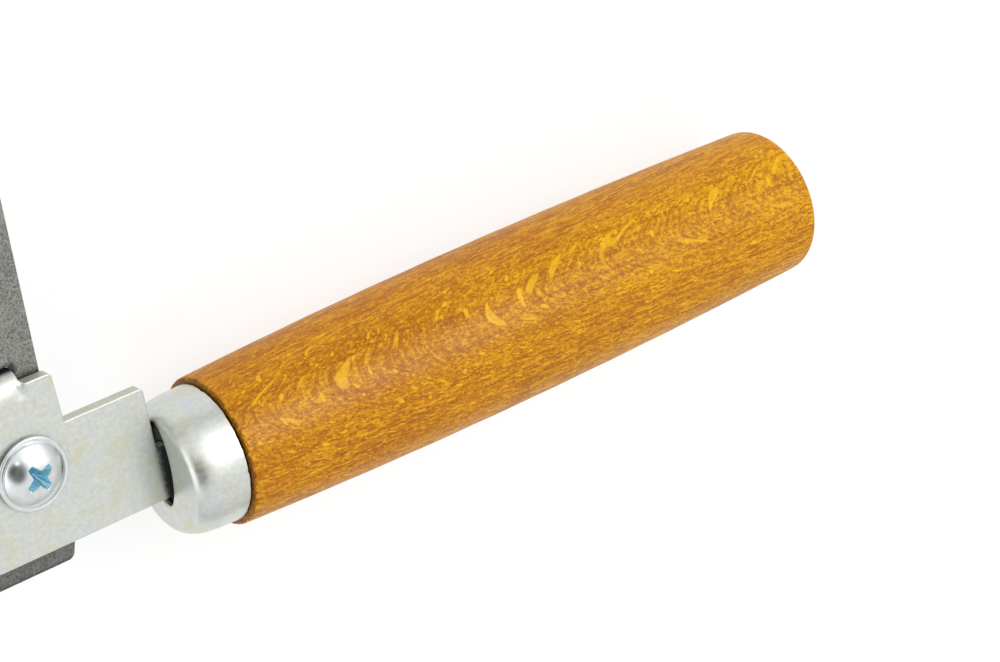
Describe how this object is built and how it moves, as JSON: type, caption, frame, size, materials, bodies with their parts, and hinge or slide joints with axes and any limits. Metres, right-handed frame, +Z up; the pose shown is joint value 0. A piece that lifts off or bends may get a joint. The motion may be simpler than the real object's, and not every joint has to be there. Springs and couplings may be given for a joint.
{
  "type": "steel trowel",
  "caption": "Single-handed steel trowel: a flat rectangular blade, a plated sheet tang bracket screwed to its corner, and a turned wooden handle in a steel ferrule.",
  "frame": {"origin": "centre of the blade's underside", "axes": "+X from the blade along the handle to its butt, +Y across the blade away from the handle's edge, +Z up out of the blade's bracket side"},
  "size_m": [0.4063, 0.1071, 0.0321],
  "materials": {
    "blasted_steel": "dark grey blasted steel with a fine granular surface",
    "zinc_plate": "satin zinc plate with faint yellow and blue passivation stains",
    "bright_zinc": "bright blue-white zinc plate",
    "varnished_beech": "amber varnish, satin, over beech with small ray flecks"
  },
  "bodies": {
    "root": {"blade": "blasted_steel", "tang_bracket": "zinc_plate", "screw": "bright_zinc", "plain_washer": "bright_zinc", "lock_washer": "bright_zinc", "hex_nut": "bright_zinc", "ferrule": "zinc_plate", "handle": "varnished_beech"}
  },
  "joints": []
}
